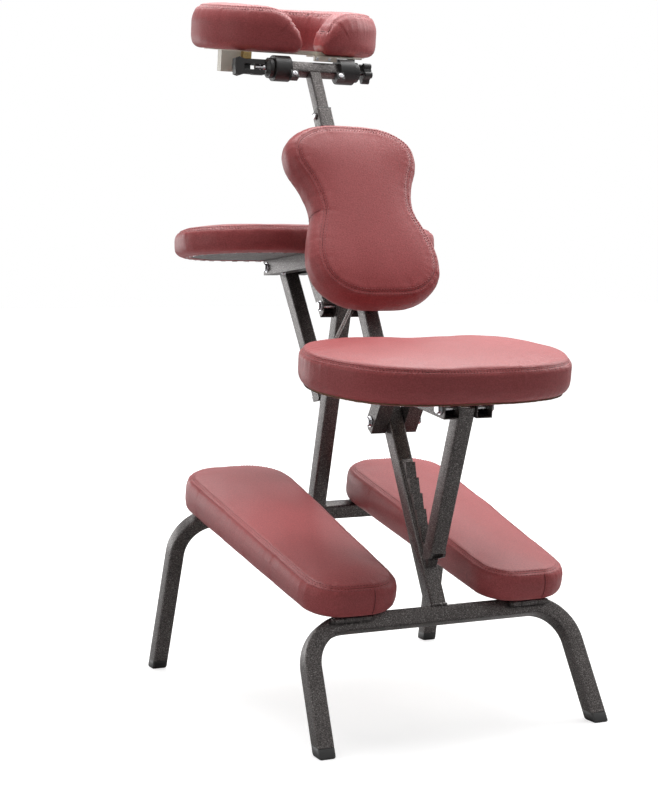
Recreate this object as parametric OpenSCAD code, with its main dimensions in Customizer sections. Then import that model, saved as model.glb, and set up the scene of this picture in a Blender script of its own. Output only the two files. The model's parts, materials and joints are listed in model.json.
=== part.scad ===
// Kneeling massage chair: two leaning square-tube frames hinged near the top, with a seat,
// a chest rest, an armrest, two knee pads and a tilting face cradle on a telescoping post.
// Millimetres, +Z up, the sitter faces +Y. The origin is on the floor under the middle.

/* [Frame tubes] */
// Outside width of the square frame tube
tube = 25; // [22:1:30]
// Wall thickness of the frame tube
wall = 1.5; // [1.2:0.1:2]
// Outside width of the square tube of the sliding head post
inner_tube = 20; // [18:0.5:21]
// Centreline radius of the bends in both U-frames
bend_r = 62; // [45:1:70]
// Height of the plastic plugs' feet below the tube ends
cap_len = 14; // [10:1:20]

/* [Rear frame] */
// Lean of the main post from vertical, in degrees
rear_lean = 27.8; // [25:0.1:30]
// Distance of the rear feet behind the origin
rear_foot_y = -358.2; // [-370:0.1:-350]
// Half distance between the centres of the rear feet
rear_half_w = 221; // [210:1:225]
// Distance of the rear crossbar's centre from the floor, along the post
rear_bar_s = 181; // [174:1:188]
// Distance of the main post's top from the floor, along the post
post_top_s = 1041; // [1030:1:1050]

/* [Front frame] */
// Lean of the front post from vertical, in degrees
front_lean = 16.8; // [15:0.1:18]
// Half distance between the centres of the front feet
front_half_w = 256; // [250:1:262]
// Distance of the front crossbar's centre from the floor, along the post
front_bar_s = 269.7; // [264:0.1:276]
// Height of the fold hinge's axis
fold_z = 667; // [662:1:672]
// Distance of the fold hinge's axis from the main post's centreline
fold_offset = 32; // [31:1:34]

/* [Seat] */
// Height of the seat's pivot axis on the main post
seat_pivot_z = 433; // [425:1:441]
// Slope of the seat, higher towards the chest rest, in degrees
seat_slope = 8; // [5:0.5:11]
// Thickness of the seat cushion
seat_thick = 56; // [50:1:62]

/* [Armrest] */
// Distance of the armrest pivot below the fold hinge, along the front post
arm_pivot_drop = 65; // [60:1:70]
// Slope of the armrest, lower at its far edge, in degrees
arm_slope = 3.8; // [2:0.2:6]
// Thickness of the armrest cushion
arm_thick = 46; // [40:1:52]

/* [Chest rest] */
// Distance of the chest cushion's middle from the floor, along the post
chest_s = 808; // [795:1:820]
// Thickness of the chest cushion
chest_thick = 50; // [44:1:56]

/* [Knee pads] */
// Length of each knee pad
knee_len = 510; // [490:5:530]
// Thickness of each knee pad
knee_thick = 50; // [44:1:56]
// Distance of each knee pad's centre line from the chair's middle
knee_x = 145; // [140:1:150]

/* [Head cradle] */
// Length of the head post that stands out of the main post
head_out = 81; // [60:1:120]
// Tilt of the face cushion, higher at its far side, in degrees
head_tilt = 8.5; // [0:0.5:12]
// Thickness of the face cushion
face_thick = 73; // [66:1:80]

/* [Hidden] */

steel = [0.24, 0.21, 0.20];
zinc = [0.75, 0.76, 0.78];
vinyl = [0.66, 0.30, 0.32];
ply = [0.66, 0.53, 0.37];
felt = [0.46, 0.45, 0.44];
black = [0.10, 0.10, 0.11];
cream = [0.90, 0.86, 0.78];
brass = [0.72, 0.55, 0.30];
cable_grey = [0.85, 0.85, 0.84];

$fn = 48;
splay = 3;                      // outward slant of the legs, in degrees
bend_steps = 16;               // flats that make up each bend
half = tube / 2;
fit = 0.05;                    // radial clearance of a pin in its bore
side_gap = 1;                  // gap between a tube and the ears beside it
ear_x = half + side_gap + half; // centre of each ear tube beside a post
bolt_r = 4;                    // M8 bolts
ratchet_teeth = 6;
ratchet_first = 262;            // lowest ledge, along the post
ratchet_base = 5;
ratchet_depth = 6.5;
ratchet_w = 16;
ratchet_pitch = 25;

// Main post: a point on its centreline at height z, and its direction
function rear_y(z) = rear_foot_y + z * tan(rear_lean);
rear_up = [0, sin(rear_lean), cos(rear_lean)];
rear_out = [0, cos(rear_lean), -sin(rear_lean)];   // from the post towards the armrest side

fold_y = rear_y(fold_z) + fold_offset / cos(rear_lean);
front_up = [0, -sin(front_lean), cos(front_lean)];
front_out = [0, cos(front_lean), sin(front_lean)];
front_foot_y = fold_y + fold_z * tan(front_lean);
front_fold_s = fold_z / cos(front_lean);
arm_pivot_s = front_fold_s - arm_pivot_drop;
arm_pivot = [0, front_foot_y, 0] + arm_pivot_s * front_up;
seat_pivot = [0, rear_y(seat_pivot_z), seat_pivot_z];

rear_bar = [0, rear_foot_y, 0] + rear_bar_s * rear_up;
front_bar = [0, front_foot_y, 0] + front_bar_s * front_up;
bar_rise = front_bar[2] - rear_bar[2];
bar_run = front_bar[1] - rear_bar[1];
line_slope = atan2(bar_rise, bar_run);
// Height of each crossbar's corner above the line through their centres
rear_rest = half * (cos(rear_lean + line_slope) + sin(rear_lean + line_slope));
front_rest = half * (cos(front_lean - line_slope) + abs(sin(front_lean - line_slope)));
knee_gap = 0.5;
knee_slope = line_slope - atan2(rear_rest - front_rest, bar_run / cos(line_slope));
knee_up = [0, -sin(knee_slope), cos(knee_slope)];
knee_along = [0, cos(knee_slope), sin(knee_slope)];
line_up = [0, -sin(line_slope), cos(line_slope)];
// Point on the knee pads' underside above the rear crossbar
knee_base = rear_bar + (rear_rest + knee_gap) * line_up;
knee_near = -25;               // the pads' near end, from knee_base
knee_pin_r = 2.5;
knuckle_r = 4.5;
knee_hinge = knee_base - 13 * knee_along - (knuckle_r + 0.6) * knee_up;

seat_mid = [0, -268.9, 520];     // middle of the seat cushion
seat_up = [0, -sin(seat_slope), cos(seat_slope)];
seat_along = [0, cos(seat_slope), sin(seat_slope)];
seat_base = seat_mid - seat_thick / 2 * seat_up;
rail_far = 112;                // far end of the seat rails, from the cushion's middle
rail_near = -98;               // near end of the seat rails
strut_pin_y = -84;             // strut bolt, from the cushion's middle
seat_strut_top = seat_base - half * seat_up + strut_pin_y * seat_along;
seat_strut_lean = 21.3;
seat_strut_len = 226;

arm_mid = [0, 190.1, 708];       // middle of the armrest cushion
arm_up = [0, sin(arm_slope), cos(arm_slope)];
arm_along = [0, cos(arm_slope), -sin(arm_slope)];
arm_base = arm_mid - arm_thick / 2 * arm_up;
arm_rail_near = -116;
arm_rail_far = 96;
arm_pin_y = 82;                // strut bolt, from the cushion's middle
arm_strut_top = arm_base - half * arm_up + arm_pin_y * arm_along;
arm_strut_lean = 34;
arm_strut_len = 252;
notch_teeth = 4;
notch_pitch = 22;
notch_base = 5;
notch_depth = 3.2;
shoe_pin_r = 3;                // cross pin at the foot of each strut
cheek_in = 8.6;                // inner face of each shoe cheek

chest_gap = 17;                // from the post's face to the chest board
board_t = 9;                   // plywood boards
board_inset = 15;              // how far each board stays inside its cushion's outline

head_s = post_top_s + head_out;
head_pivot = [0, rear_foot_y, 0] + head_s * rear_up;
head_in = 470;                 // length of the head post inside the main post
bar_half = 74;                 // half length of the head crossbar
plate_z = 24;                  // head plate's underside above the crossbar's centre
plate_t = 7;
face_y = 118;                  // middle of the face cushion, beyond the crossbar
face_a = 161;                  // half width of the face cushion
face_b = 131;                  // half depth of the face cushion
hole_a = 66;
hole_b = 70;
chin_gap = 38;
plate_inset = 19;               // how far the head plate stays inside the face cushion's edge

pin_s = post_top_s - 9;         // height lock plunger, along the post
plunger_r = 2.4;
bushing_len = 60;
cheek_t = 5;                   // thickness of the fold bracket's cheeks
ear_tail = 14;                 // length of an ear below its pivot
rail_screw_y = [-60, 40];
arm_screw_y = [-70, 40];

hinge_s = fold_z / cos(rear_lean) + fold_offset * tan(rear_lean);   // fold hinge, along the post
knee_near_w = 71;              // half width of each pad near its near end
knee_far_w = 88;
knee_near_r = 52;              // corner radii of the pads
knee_far_r = 62;
knee_toe = 5;                  // how much nearer the middle each pad's near end lies

// Route of one cable strand, from the main post down to the left side of the front post
cable_top_s = 728;
cable_foot_s = 523;
cable_route = [[0, -6.1, 635.7], [-0.5, 2, 618], [-3, 16, 598], [-7, 30, 576], [-12.5, 43, 554],
    [-17, 52.5, 535], [-17.5, 61, 512], [-17.5, 66, 498]];

// The armrest strut's foot: point on its centreline at the end
arm_foot = arm_strut_top - arm_strut_len * [0, sin(arm_strut_lean), cos(arm_strut_lean)];
notch_s = (arm_foot - [0, front_foot_y, 0]) * front_up - 6;
// Where each strut's cross pin sits on its lowest ledge, seen from the strut's foot
seat_pin = [0, rear_foot_y, 0] + (ratchet_first + shoe_pin_r + 0.4) * rear_up
    - (half + ratchet_base + shoe_pin_r + 1.2) * rear_out;
seat_strut_down = [0, sin(seat_strut_lean), -cos(seat_strut_lean)];
seat_strut_side = [0, cos(seat_strut_lean), sin(seat_strut_lean)];
seat_foot = seat_strut_top + seat_strut_len * seat_strut_down;
seat_pin_y = (seat_pin - seat_foot) * seat_strut_side;
seat_pin_z = -(seat_pin - seat_foot) * seat_strut_down;

arm_pin = [0, front_foot_y, 0] + (notch_s + shoe_pin_r + 0.4) * front_up
    + (half + notch_base + shoe_pin_r + 1) * front_out;
arm_strut_down = [0, -sin(arm_strut_lean), -cos(arm_strut_lean)];
arm_strut_side = [0, -cos(arm_strut_lean), sin(arm_strut_lean)];
arm_pin_side = (arm_pin - arm_foot) * arm_strut_side;
arm_pin_drop = -(arm_pin - arm_foot) * arm_strut_down;
sleeve_low = 52;               // lower end of the bracket's sleeve, from the cushion's middle
sleeve_len = 56;
saddle_low = -126;
saddle_len = 30;
knob_rise = 82;                // clamp knob's axis, from the cushion's middle
chest_screw_y = [-118, 118];
collar_in = 44;
collar_out = 72;
collar_r = 21;
rod_r = 4;
rod_left = -103;
rod_right = 100;
lever_pin_x = -94;
hub_in = 74.4;

// ---------- helpers ----------

module in_rear(s) translate([0, rear_foot_y, 0] + s * rear_up) rotate([-rear_lean, 0, 0]) children();
module in_front(s) translate([0, front_foot_y, 0] + s * front_up) rotate([front_lean, 0, 0]) children();
module in_seat() translate(seat_base) rotate([seat_slope, 0, 0]) children();
module in_arm() translate(arm_base) rotate([-arm_slope, 0, 0]) children();
module in_knee(side) translate(knee_base + [side * knee_x, 0, 0]) rotate([knee_slope, 0, 0]) children();
module in_head() translate(head_pivot) rotate([head_tilt, 0, 0]) children();
module both() { children(); mirror([1, 0, 0]) children(); }
module along_x() rotate([0, 90, 0]) children();

// Closed Catmull-Rom curve through a few points
function catmull(p, q, r, s, t) = 0.5 * ((2 * q) + (r - p) * t + (2 * p - 5 * q + 4 * r - s) * t * t
    + (3 * q - p - 3 * r + s) * t * t * t);
function closed_curve(pts, n) = [for (i = [0 : len(pts) - 1], k = [0 : n - 1])
    catmull(pts[(i + len(pts) - 1) % len(pts)], pts[i], pts[(i + 1) % len(pts)],
        pts[(i + 2) % len(pts)], k / n)];
// Whole outline from its right half, listed from the near end to the far end
function mirrored(h) = concat(h, [for (i = [len(h) - 2 : -1 : 1]) [-h[i][0], h[i][1]]]);

module square_tube(len, size, hollow = wall) difference() {
    translate([-size / 2, -size / 2, 0]) cube([size, size, len]);
    translate([-size / 2 + hollow, -size / 2 + hollow, -1])
        cube([size - 2 * hollow, size - 2 * hollow, len + 2]);
}

// Right half of a line at distance d outside the centreline of a U-frame, from the foot to the bar
function u_half(half_w, bar_s, d) = let (leg = (bar_s - bend_r + bend_r * sin(splay)) / cos(splay),
    mid = [half_w - bend_r * cos(splay) - leg * sin(splay), bar_s - bend_r])
    concat([mid + (bend_r + d) * [cos(splay), sin(splay)] + (leg + 30) * [sin(splay), -cos(splay)]],
        [for (i = [0 : bend_steps]) let (a = splay + i * (90 - splay) / bend_steps)
            mid + (bend_r + d) * [cos(a), sin(a)]]);
function flipped(pts) = [for (i = [len(pts) - 1 : -1 : 0]) [-pts[i][0], pts[i][1]]];
function backwards(pts) = [for (i = [len(pts) - 1 : -1 : 0]) pts[i]];

// One U-frame in its own plane: legs down from a crossbar, with a square section
module u_solid(half_w, bar_s, size) {
    outer = u_half(half_w, bar_s, size / 2);
    inner = u_half(half_w, bar_s, -size / 2);
    rotate([90, 0, 0]) linear_extrude(size, center = true)
        polygon(concat(outer, flipped(outer), backwards(flipped(inner)), backwards(inner)));
}

module u_frame(half_w, bar_s) difference() {
    u_solid(half_w, bar_s, tube);
    u_solid(half_w, bar_s, tube - 2 * wall);
}

// Everything above the floor plane, shifted up by h
module above(h) difference() {
    children();
    translate([-500, -600, h - 200]) cube([1000, 1200, 200]);
}

// Straight leg prisms that rise from the two feet of a U-frame
module leg_prisms(half_w, size) both() translate([half_w, 0, 0]) rotate([0, -splay, 0])
    translate([-size / 2, -size / 2, -20]) cube([size, size, 60]);

// Hexagon-headed bolt along X with its nut, centred on the axis
module cross_bolt(r, grip) along_x() {
    cylinder(r = r, h = 2 * grip, center = true);
    for (k = [-1, 1]) translate([0, 0, k * (grip + 0.6)]) cylinder(r = 2.1 * r, h = 1.2, center = true);
    translate([0, 0, -grip - 5.7]) cylinder(r = 1.7 * r, h = 4.5, $fn = 6);
    translate([0, 0, grip + 1.2]) cylinder(r = 1.7 * r, h = 6, $fn = 6);
}

module bore_x(r, len = 120) along_x() cylinder(r = r, h = len, center = true);

// ---------- rear frame ----------

module rear_u_frame() color(steel) above(cap_len) in_rear(0) u_frame(rear_half_w, rear_bar_s);

module main_post() color(steel) in_rear(0) difference() {
    translate([0, 0, rear_bar_s + half]) square_tube(post_top_s - rear_bar_s - half, tube);
    bore_at(seat_pivot_z / cos(rear_lean), bolt_r + fit);
    translate([-half, 0, pin_s]) bore_x(plunger_r + 0.6, 8);
}

module bore_at(s, r) translate([0, 0, s]) bore_x(r);

// Saw-toothed bar whose ledges face up, lying on the plane y = 0 and standing out along -Y
module ledge_bar(teeth, pitch, base, depth, w) translate([w / 2, 0, 0]) rotate([0, -90, 0])
    linear_extrude(w) polygon(concat([[-12, 0], [-6, -base - depth], [0, -base - depth]],
        [for (i = [0 : teeth - 1], k = [0, 1]) [(i + k) * pitch, -base - k * depth]],
        [[teeth * pitch, -base + 1], [teeth * pitch + 10, 0]]));

module seat_ratchet() color(steel) in_rear(ratchet_first) translate([0, -half, 0])
    ledge_bar(ratchet_teeth, ratchet_pitch, ratchet_base, ratchet_depth, ratchet_w);

// Plastic foot plugged into the end of each leg, flat on the floor
module foot_plug(half_w, lean, foot_y, size, top) intersection() {
    translate([0, foot_y, 0]) rotate([lean, 0, 0]) leg_prisms(half_w, size);
    translate([-500, foot_y - 60, 0]) cube([1000, 120, top]);
}

module foot_caps(half_w, lean, foot_y) color(black) {
    foot_plug(half_w, lean, foot_y, tube, cap_len);
    foot_plug(half_w, lean, foot_y, tube - 2 * wall - 0.2, cap_len + 18);
}

module rear_foot_caps() foot_caps(rear_half_w, -rear_lean, rear_foot_y);

// Two cheeks that carry the fold hinge, welded to the sides of the main post
module fold_bracket() color(steel) in_rear(hinge_s)
    both() difference() {
        union() {
            translate([half, 0, 0]) rotate([90, 0, 90]) linear_extrude(side_gap)
                polygon([[0.5, -24], [half, -24], [half, 24], [0.5, 24]]);
            translate([half + side_gap, 0, 0]) rotate([90, 0, 90]) linear_extrude(cheek_t) {
                translate([fold_offset, 0]) circle(r = 13);
                polygon([[0.5, -24], [half, -24], [fold_offset + 4, -12.4],
                    [fold_offset + 4, 12.4], [half, 24], [0.5, 24]]);
            }
        }
        translate([0, fold_offset, 0]) bore_x(bolt_r + fit);
    }

module fold_bolt() color(zinc) translate([0, fold_y, fold_z])
    cross_bolt(bolt_r, half + side_gap + cheek_t);

// Plastic guide between the main post and the head post
module post_bushing() color(black) in_rear(post_top_s - bushing_len) difference() {
    union() {
        square_tube(bushing_len, tube - 2 * wall, (tube - 2 * wall - inner_tube) / 2 - 0.1);
        translate([0, 0, bushing_len]) square_tube(2, tube - 1, (tube - 1 - inner_tube) / 2 - 0.1);
    }
    translate([-half, 0, bushing_len - (post_top_s - pin_s)]) bore_x(plunger_r + 0.6, 8);
}

module height_pin_boss() color(steel) in_rear(pin_s) along_x() difference() {
    translate([0, 0, -half - 1.5]) cylinder(r = 6, h = 1.5);
    translate([0, 0, -half - 5]) cylinder(r = plunger_r + fit, h = 10);
}

// Spring plunger whose nose bears on the head post
module height_pin() color(zinc) in_rear(pin_s) along_x() {
    translate([0, 0, -half - 1.5]) cylinder(r = plunger_r, h = half + 1.5 - inner_tube / 2 - 0.15);
    translate([0, 0, -half - 1.6 - 2.6]) cylinder(r1 = 3.6, r2 = 4.5, h = 1);
    translate([0, 0, -half - 3.2]) cylinder(r = 4.5, h = 1.6);
}

module seat_pivot_bolt() color(zinc) translate(seat_pivot)
    cross_bolt(bolt_r, ear_x + half + 0.1);

module knee_hinge_tabs() color(steel) for (side = [-1, 1], k = [-1, 1]) {
    x = side * knee_x + k * 22;
    difference() {
        union() {
            translate([x, 0, 0] + knee_hinge) along_x() cylinder(r = knuckle_r, h = 14, center = true);
            translate([x, 0, 0] + rear_bar) rotate([-rear_lean, 0, 0])
                translate([-6, -18.5, -1.6]) cube([12, 6, 4]);
        }
        translate([x, 0, 0] + knee_hinge) bore_x(knee_pin_r + fit, 20);
    }
}

module knee_hinge_pins() color(steel) for (side = [-1, 1])
    translate([side * knee_x, 0, 0] + knee_hinge) along_x() {
        cylinder(r = knee_pin_r, h = 62, center = true);
        for (k = [-1, 1]) translate([0, 0, k * 31 - 1]) cylinder(r = 3.8, h = 2);
    }

// ---------- front frame ----------

module front_u_frame() color(steel) above(cap_len) in_front(0) u_frame(front_half_w, front_bar_s);

module front_post() color(steel) in_front(0) difference() {
    translate([0, 0, front_bar_s + half])
        square_tube(front_fold_s + half - front_bar_s - half, tube);
    bore_at(front_fold_s, bolt_r + fit);
    bore_at(arm_pivot_s, bolt_r + fit);
}

module front_foot_caps() foot_caps(front_half_w, front_lean, front_foot_y);

module armrest_pivot_bolt() color(zinc) translate(arm_pivot)
    cross_bolt(bolt_r, ear_x + half + 0.1);

module armrest_notch_bar() color(steel) in_front(notch_s) translate([0, half, 0])
    mirror([0, 1, 0]) ledge_bar(notch_teeth, notch_pitch, notch_base, notch_depth, ratchet_w);

// ---------- stay cable ----------

function unit(v) = v / norm(v);
function ring(p, d, r, n) = let (a = unit(cross(d, [0, 1, 0])), b = unit(cross(d, a)))
    [for (i = [0 : n - 1]) p + r * (cos(360 * i / n) * a + sin(360 * i / n) * b)];

// Round tube swept along a list of points
module swept(pts, r, n) {
    m = len(pts);
    rings = [for (i = [0 : m - 1]) each ring(pts[i],
        unit(pts[min(i + 1, m - 1)] - pts[max(i - 1, 0)]), r, n)];
    polyhedron(rings, concat([[for (i = [0 : n - 1]) i]],
        [for (j = [0 : m - 2], i = [0 : n - 1])
            [j * n + i, (j + 1) * n + i, (j + 1) * n + (i + 1) % n, j * n + (i + 1) % n]],
        [[for (i = [n - 1 : -1 : 0]) (m - 1) * n + i]]));
}

module stay_cable() color(cable_grey) for (k = [-1, 1])
    swept([for (p = cable_route) p + [k * 1.9, 0, 0]], 1.5, 8);

// Crimped lugs at the ends of the cable, fixed to the two posts
module cable_lug_rear() color(zinc) in_rear(cable_top_s) translate([-5.5, half, 0]) {
    cube([11, 5, 14]);
    translate([5.5, 5, 9]) rotate([-90, 0, 0]) cylinder(r = 3.2, h = 1.2);
}

module cable_lug_front() color(zinc) in_front(cable_foot_s) translate([-half, -half - 6, -13.5]) {
    translate([-9, 0, 0]) cube([9, 11.5, 13.5]);
    translate([-9, 8, 5]) rotate([0, -90, 0]) cylinder(r = 3.2, h = 1.2);
}

// ---------- seat ----------

module seat_outline() polygon(closed_curve(mirrored([[0, -138], [88, -133], [158, -104],
    [199, -44], [209, 16], [182, 84], [118, 122], [48, 121], [0, 116]]), 8));

module ear(pivot, lean, rise, size) translate(pivot) rotate([lean, 0, 0])
    translate([-size / 2, -size / 2, -ear_tail]) cube([size, size, rise + ear_tail]);

// Two rails under a board, each with a slanting ear down to the pivot bolt
module rails_and_ears(near, far, base, slope, pivot, lean, rise) difference() {
    both() rail_solid(near, far, base, slope, pivot, lean, rise, tube, 0);
    both() rail_solid(near, far, base, slope, pivot, lean, rise, tube - 2 * wall, 2);
    translate(pivot) bore_x(bolt_r + fit);
    // bevel on the lower corner of each ear
    translate(pivot) rotate([lean, 0, 0]) translate([-60, sign(lean) * half, -ear_tail])
        rotate([45, 0, 0]) translate([0, -8, -8]) cube([120, 16, 16]);
}

module rail_solid(near, far, base, slope, pivot, lean, rise, size, extra) {
    translate([ear_x, 0, 0]) ear(pivot, lean, rise, size - 0.4);
    translate(base) rotate([slope, 0, 0])
        translate([ear_x - size / 2, near - extra, -half - size / 2])
            cube([size, far - near + 2 * extra, size]);
}

module seat_rails() color(steel) difference() {
    rails_and_ears(rail_near, rail_far, seat_base, seat_slope, seat_pivot, 34, 68);
    translate(seat_strut_top) bore_x(bolt_r + fit);
    in_seat() rail_screws(rail_screw_y) translate([0, 0, -30]) cylinder(r = 2.5, h = 60);
}

module rail_screws(ys) for (x = [-ear_x, ear_x], y = ys) translate([x, y, 0]) children();

module seat_board() color(ply) in_seat() difference() {
    linear_extrude(board_t) offset(delta = -board_inset) seat_outline();
    rail_screws(rail_screw_y) translate([0, 0, -1]) cylinder(r = 2.5, h = board_t - 1);
}

module seat_cushion() color(vinyl) in_seat() difference() {
    linear_extrude(seat_thick) seat_outline();
    translate([0, 0, -1]) linear_extrude(board_t + 1) offset(delta = -board_inset) seat_outline();
}

// Wood screw pointing up, its head under the rails at z = 0
module wood_screw(len) color(zinc) {
    translate([0, 0, -2.6]) cylinder(r1 = 3.4, r2 = 4.6, h = 2.6);
    cylinder(r = 2.4, h = len);
}

module seat_screws() in_seat() rail_screws(rail_screw_y) translate([0, 0, -tube])
    wood_screw(tube + board_t - 3);

module seat_brace() color(steel) in_seat() translate([-half - side_gap, 62, -5])
    cube([tube + 2 * side_gap, 26, 5]);

module seat_strut_bolt() color(zinc) translate(seat_strut_top) cross_bolt(bolt_r, ear_x + half);

// Square strut hanging from its bolt at the origin, leaning so that its foot swings to +Y
module strut(len) difference() {
    translate([0, 0, -len]) square_tube(len + 5, tube);
    bore_x(bolt_r + fit);
}

// Forked shoe with a cross pin, at the foot of a strut that ends at z = 0
module shoe(pin_y, pin_z) difference() {
    union() {
        both() translate([cheek_in, 0, 0]) rotate([90, 0, 90]) linear_extrude(half - cheek_in)
            polygon([[-half, 0], [half, 0], [pin_y + 4, pin_z + 4], [pin_y + 4, pin_z - 4],
                [pin_y - 4, pin_z - 4], [-half, -9]]);
        translate([-cheek_in, -half, -3]) cube([2 * cheek_in, 9, 3]);
    }
    translate([0, pin_y, pin_z]) bore_x(shoe_pin_r + 0.02, 60);
}

module shoe_pin(pin_y, pin_z) translate([0, pin_y, pin_z]) bore_x(shoe_pin_r, 2 * half);

module seat_strut() color(steel) translate(seat_strut_top) rotate([seat_strut_lean, 0, 0])
    strut(seat_strut_len);

module seat_strut_shoe() color(steel) translate(seat_foot) rotate([seat_strut_lean, 0, 0]) {
    shoe(seat_pin_y, seat_pin_z);
    shoe_pin(seat_pin_y, seat_pin_z);
}

// ---------- armrest ----------

module arm_outline() polygon(closed_curve(mirrored([[0, -104], [90, -112], [168, -98],
    [218, -52], [229, 0], [214, 54], [164, 98], [86, 115], [0, 118]]), 8));

module armrest_rails() color(steel) difference() {
    rails_and_ears(arm_rail_near, arm_rail_far, arm_base, -arm_slope, arm_pivot, -36, 86);
    translate(arm_strut_top) bore_x(bolt_r + fit);
    in_arm() rail_screws(arm_screw_y) translate([0, 0, -30]) cylinder(r = 2.5, h = 60);
}

module armrest_board() color(felt) in_arm() difference() {
    linear_extrude(board_t) offset(delta = -board_inset) arm_outline();
    rail_screws(arm_screw_y) translate([0, 0, -1]) cylinder(r = 2.5, h = board_t - 1);
}

module armrest_cushion() color(vinyl) in_arm() difference() {
    linear_extrude(arm_thick) arm_outline();
    translate([0, 0, -1]) linear_extrude(board_t + 1) offset(delta = -board_inset) arm_outline();
}

module armrest_screws() in_arm() rail_screws(arm_screw_y) translate([0, 0, -tube])
    wood_screw(tube + board_t - 3);

module armrest_strut_bolt() color(zinc) translate(arm_strut_top) cross_bolt(bolt_r, ear_x + half);

module armrest_strut() color(steel) translate(arm_strut_top) rotate([-arm_strut_lean, 0, 0])
    strut(arm_strut_len);

module armrest_strut_shoe() color(steel) translate(arm_foot) rotate([-arm_strut_lean, 0, 0])
    mirror([0, 1, 0]) {
        shoe(arm_pin_side, arm_pin_drop);
        shoe_pin(arm_pin_side, arm_pin_drop);
    }

// ---------- chest rest ----------

module chest_outline() polygon(closed_curve(mirrored([[0, -147], [56, -142], [94, -115],
    [105, -76], [96, -32], [82, 10], [89, 54], [106, 96], [99, 133], [59, 157], [0, 162]]), 8));

// Frame of the chest rest: x across, y up the post, z towards the sitter, from the board's back
module in_chest() in_rear(chest_s) translate([0, -half - chest_gap, 0]) rotate([90, 0, 0]) children();

// Back plate with a sleeve round the post at the top and an open saddle at the bottom
module chest_bracket() color(steel) in_rear(chest_s) difference() {
    union() {
        translate([-30, -half - chest_gap, -134]) cube([60, 3, 264]);
        translate([-half - 3.3, -half - chest_gap + 3, sleeve_low])
            cube([tube + 6.6, half + chest_gap - 3 + half + 3.3, sleeve_len]);
        translate([-half - 3.3, -half - chest_gap + 3, saddle_low])
            cube([tube + 6.6, chest_gap - 3 + 10, saddle_len]);
    }
    translate([-half - 0.3, -half - 0.3, -200]) cube([tube + 0.6, tube + 0.6, 400]);
    for (z = [sleeve_low, saddle_low]) translate([-half, -half - chest_gap + 6, z - 1])
        cube([tube, chest_gap - 9.5, (z == sleeve_low ? sleeve_len : saddle_len) + 2]);
    translate([0, half - 1, knob_rise]) rotate([-90, 0, 0]) cylinder(r = 4 + fit, h = 10);
    for (x = [-22, 22], z = chest_screw_y) translate([x, -half - chest_gap - 1, z])
        rotate([-90, 0, 0]) cylinder(r = 2.5, h = 10);
}

module chest_board() color(ply) in_chest() difference() {
    linear_extrude(board_t) offset(delta = -board_inset) chest_outline();
    for (x = [-22, 22], y = chest_screw_y) translate([x, y, -1]) cylinder(r = 2.5, h = board_t - 1);
}

module chest_cushion() color(vinyl) in_chest() difference() {
    linear_extrude(chest_thick) chest_outline();
    translate([0, 0, -1]) linear_extrude(board_t + 1) offset(delta = -board_inset) chest_outline();
}

module chest_screws() in_chest() for (x = [-22, 22], y = chest_screw_y)
    translate([x, y, -3]) wood_screw(board_t);

// Lobed knob on a short screw, turning about the local Z axis, from z = 0 up
module lobed_knob(r, h, lobes) {
    linear_extrude(h) {
        circle(r = r * 0.72);
        for (i = [0 : lobes - 1]) rotate(360 * i / lobes) translate([r * 0.7, 0]) circle(r = r * 0.3);
    }
    translate([0, 0, h]) cylinder(r1 = r * 0.5, r2 = r * 0.4, h = 3);
}

module chest_knob() color(black) in_rear(chest_s + knob_rise) rotate([-90, 0, 0]) {
    translate([0, 0, half + 0.15]) cylinder(r = 4, h = 6);
    translate([0, 0, half + 4.5]) lobed_knob(17, 10, 6);
}

// ---------- knee pads ----------

module knee_outline(side, inset = 0) hull() {
    for (k = [-1, 1]) {
        translate([k * (knee_near_w - knee_near_r) - side * knee_toe, knee_near + knee_near_r])
            circle(r = knee_near_r - inset);
        translate([k * (knee_far_w - knee_far_r), knee_near + knee_len - knee_far_r])
            circle(r = knee_far_r - inset);
    }
}

module knee_board(side) color(ply) linear_extrude(board_t) knee_outline(side, board_inset);

module knee_cushion(side) color(vinyl) difference() {
    linear_extrude(knee_thick) knee_outline(side);
    translate([0, 0, -1]) linear_extrude(board_t + 1) knee_outline(side, board_inset);
}

// Middle knuckle and leaf, in the pad's own frame
module knee_hinge_leaf() color(steel) difference() {
    union() {
        translate([0, -13, -knuckle_r - 0.6]) along_x() cylinder(r = knuckle_r, h = 28, center = true);
        translate([-14, -19.5, -1.6]) cube([28, 11, 1.6]);
    }
    translate([0, -13, -knuckle_r - 0.6]) bore_x(knee_pin_r + fit, 60);
}

module left_knee_board() in_knee(-1) knee_board(-1);
module left_knee_cushion() in_knee(-1) knee_cushion(-1);
module left_knee_hinge() in_knee(-1) knee_hinge_leaf();
module right_knee_board() in_knee(1) knee_board(1);
module right_knee_cushion() in_knee(1) knee_cushion(1);
module right_knee_hinge() in_knee(1) knee_hinge_leaf();

// ---------- head post and cradle ----------

module head_post() color(steel) in_rear(head_s) {
    len = head_out + head_in - inner_tube / 2;
    translate([0, 0, -inner_tube / 2 - len]) square_tube(len, inner_tube);
}

module head_crossbar() color(steel) in_rear(head_s) translate([-bar_half, 0, 0]) along_x()
    square_tube(2 * bar_half, inner_tube);

// Moulded collars on the crossbar's ends, each with a clamp lug and its screw
module clamp_collars() color(black) in_rear(head_s) both() difference() {
    union() {
        translate([collar_in, 0, 0]) along_x() cylinder(r = collar_r, h = collar_out - collar_in);
        translate([collar_in - 9, -17, -26]) cube([13, 12, 13]);
    }
    translate([0, -inner_tube / 2, -inner_tube / 2]) cube([100, inner_tube, inner_tube]);
}

// Draw rod through the crossbar, with the lever's pin across its left end
module clamp_rod() color(zinc) translate(head_pivot) {
    translate([rod_left, 0, 0]) along_x() cylinder(r = rod_r, h = rod_right - rod_left);
    translate([lever_pin_x, 0, -9]) cylinder(r = 2.5, h = 18);
}

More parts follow.
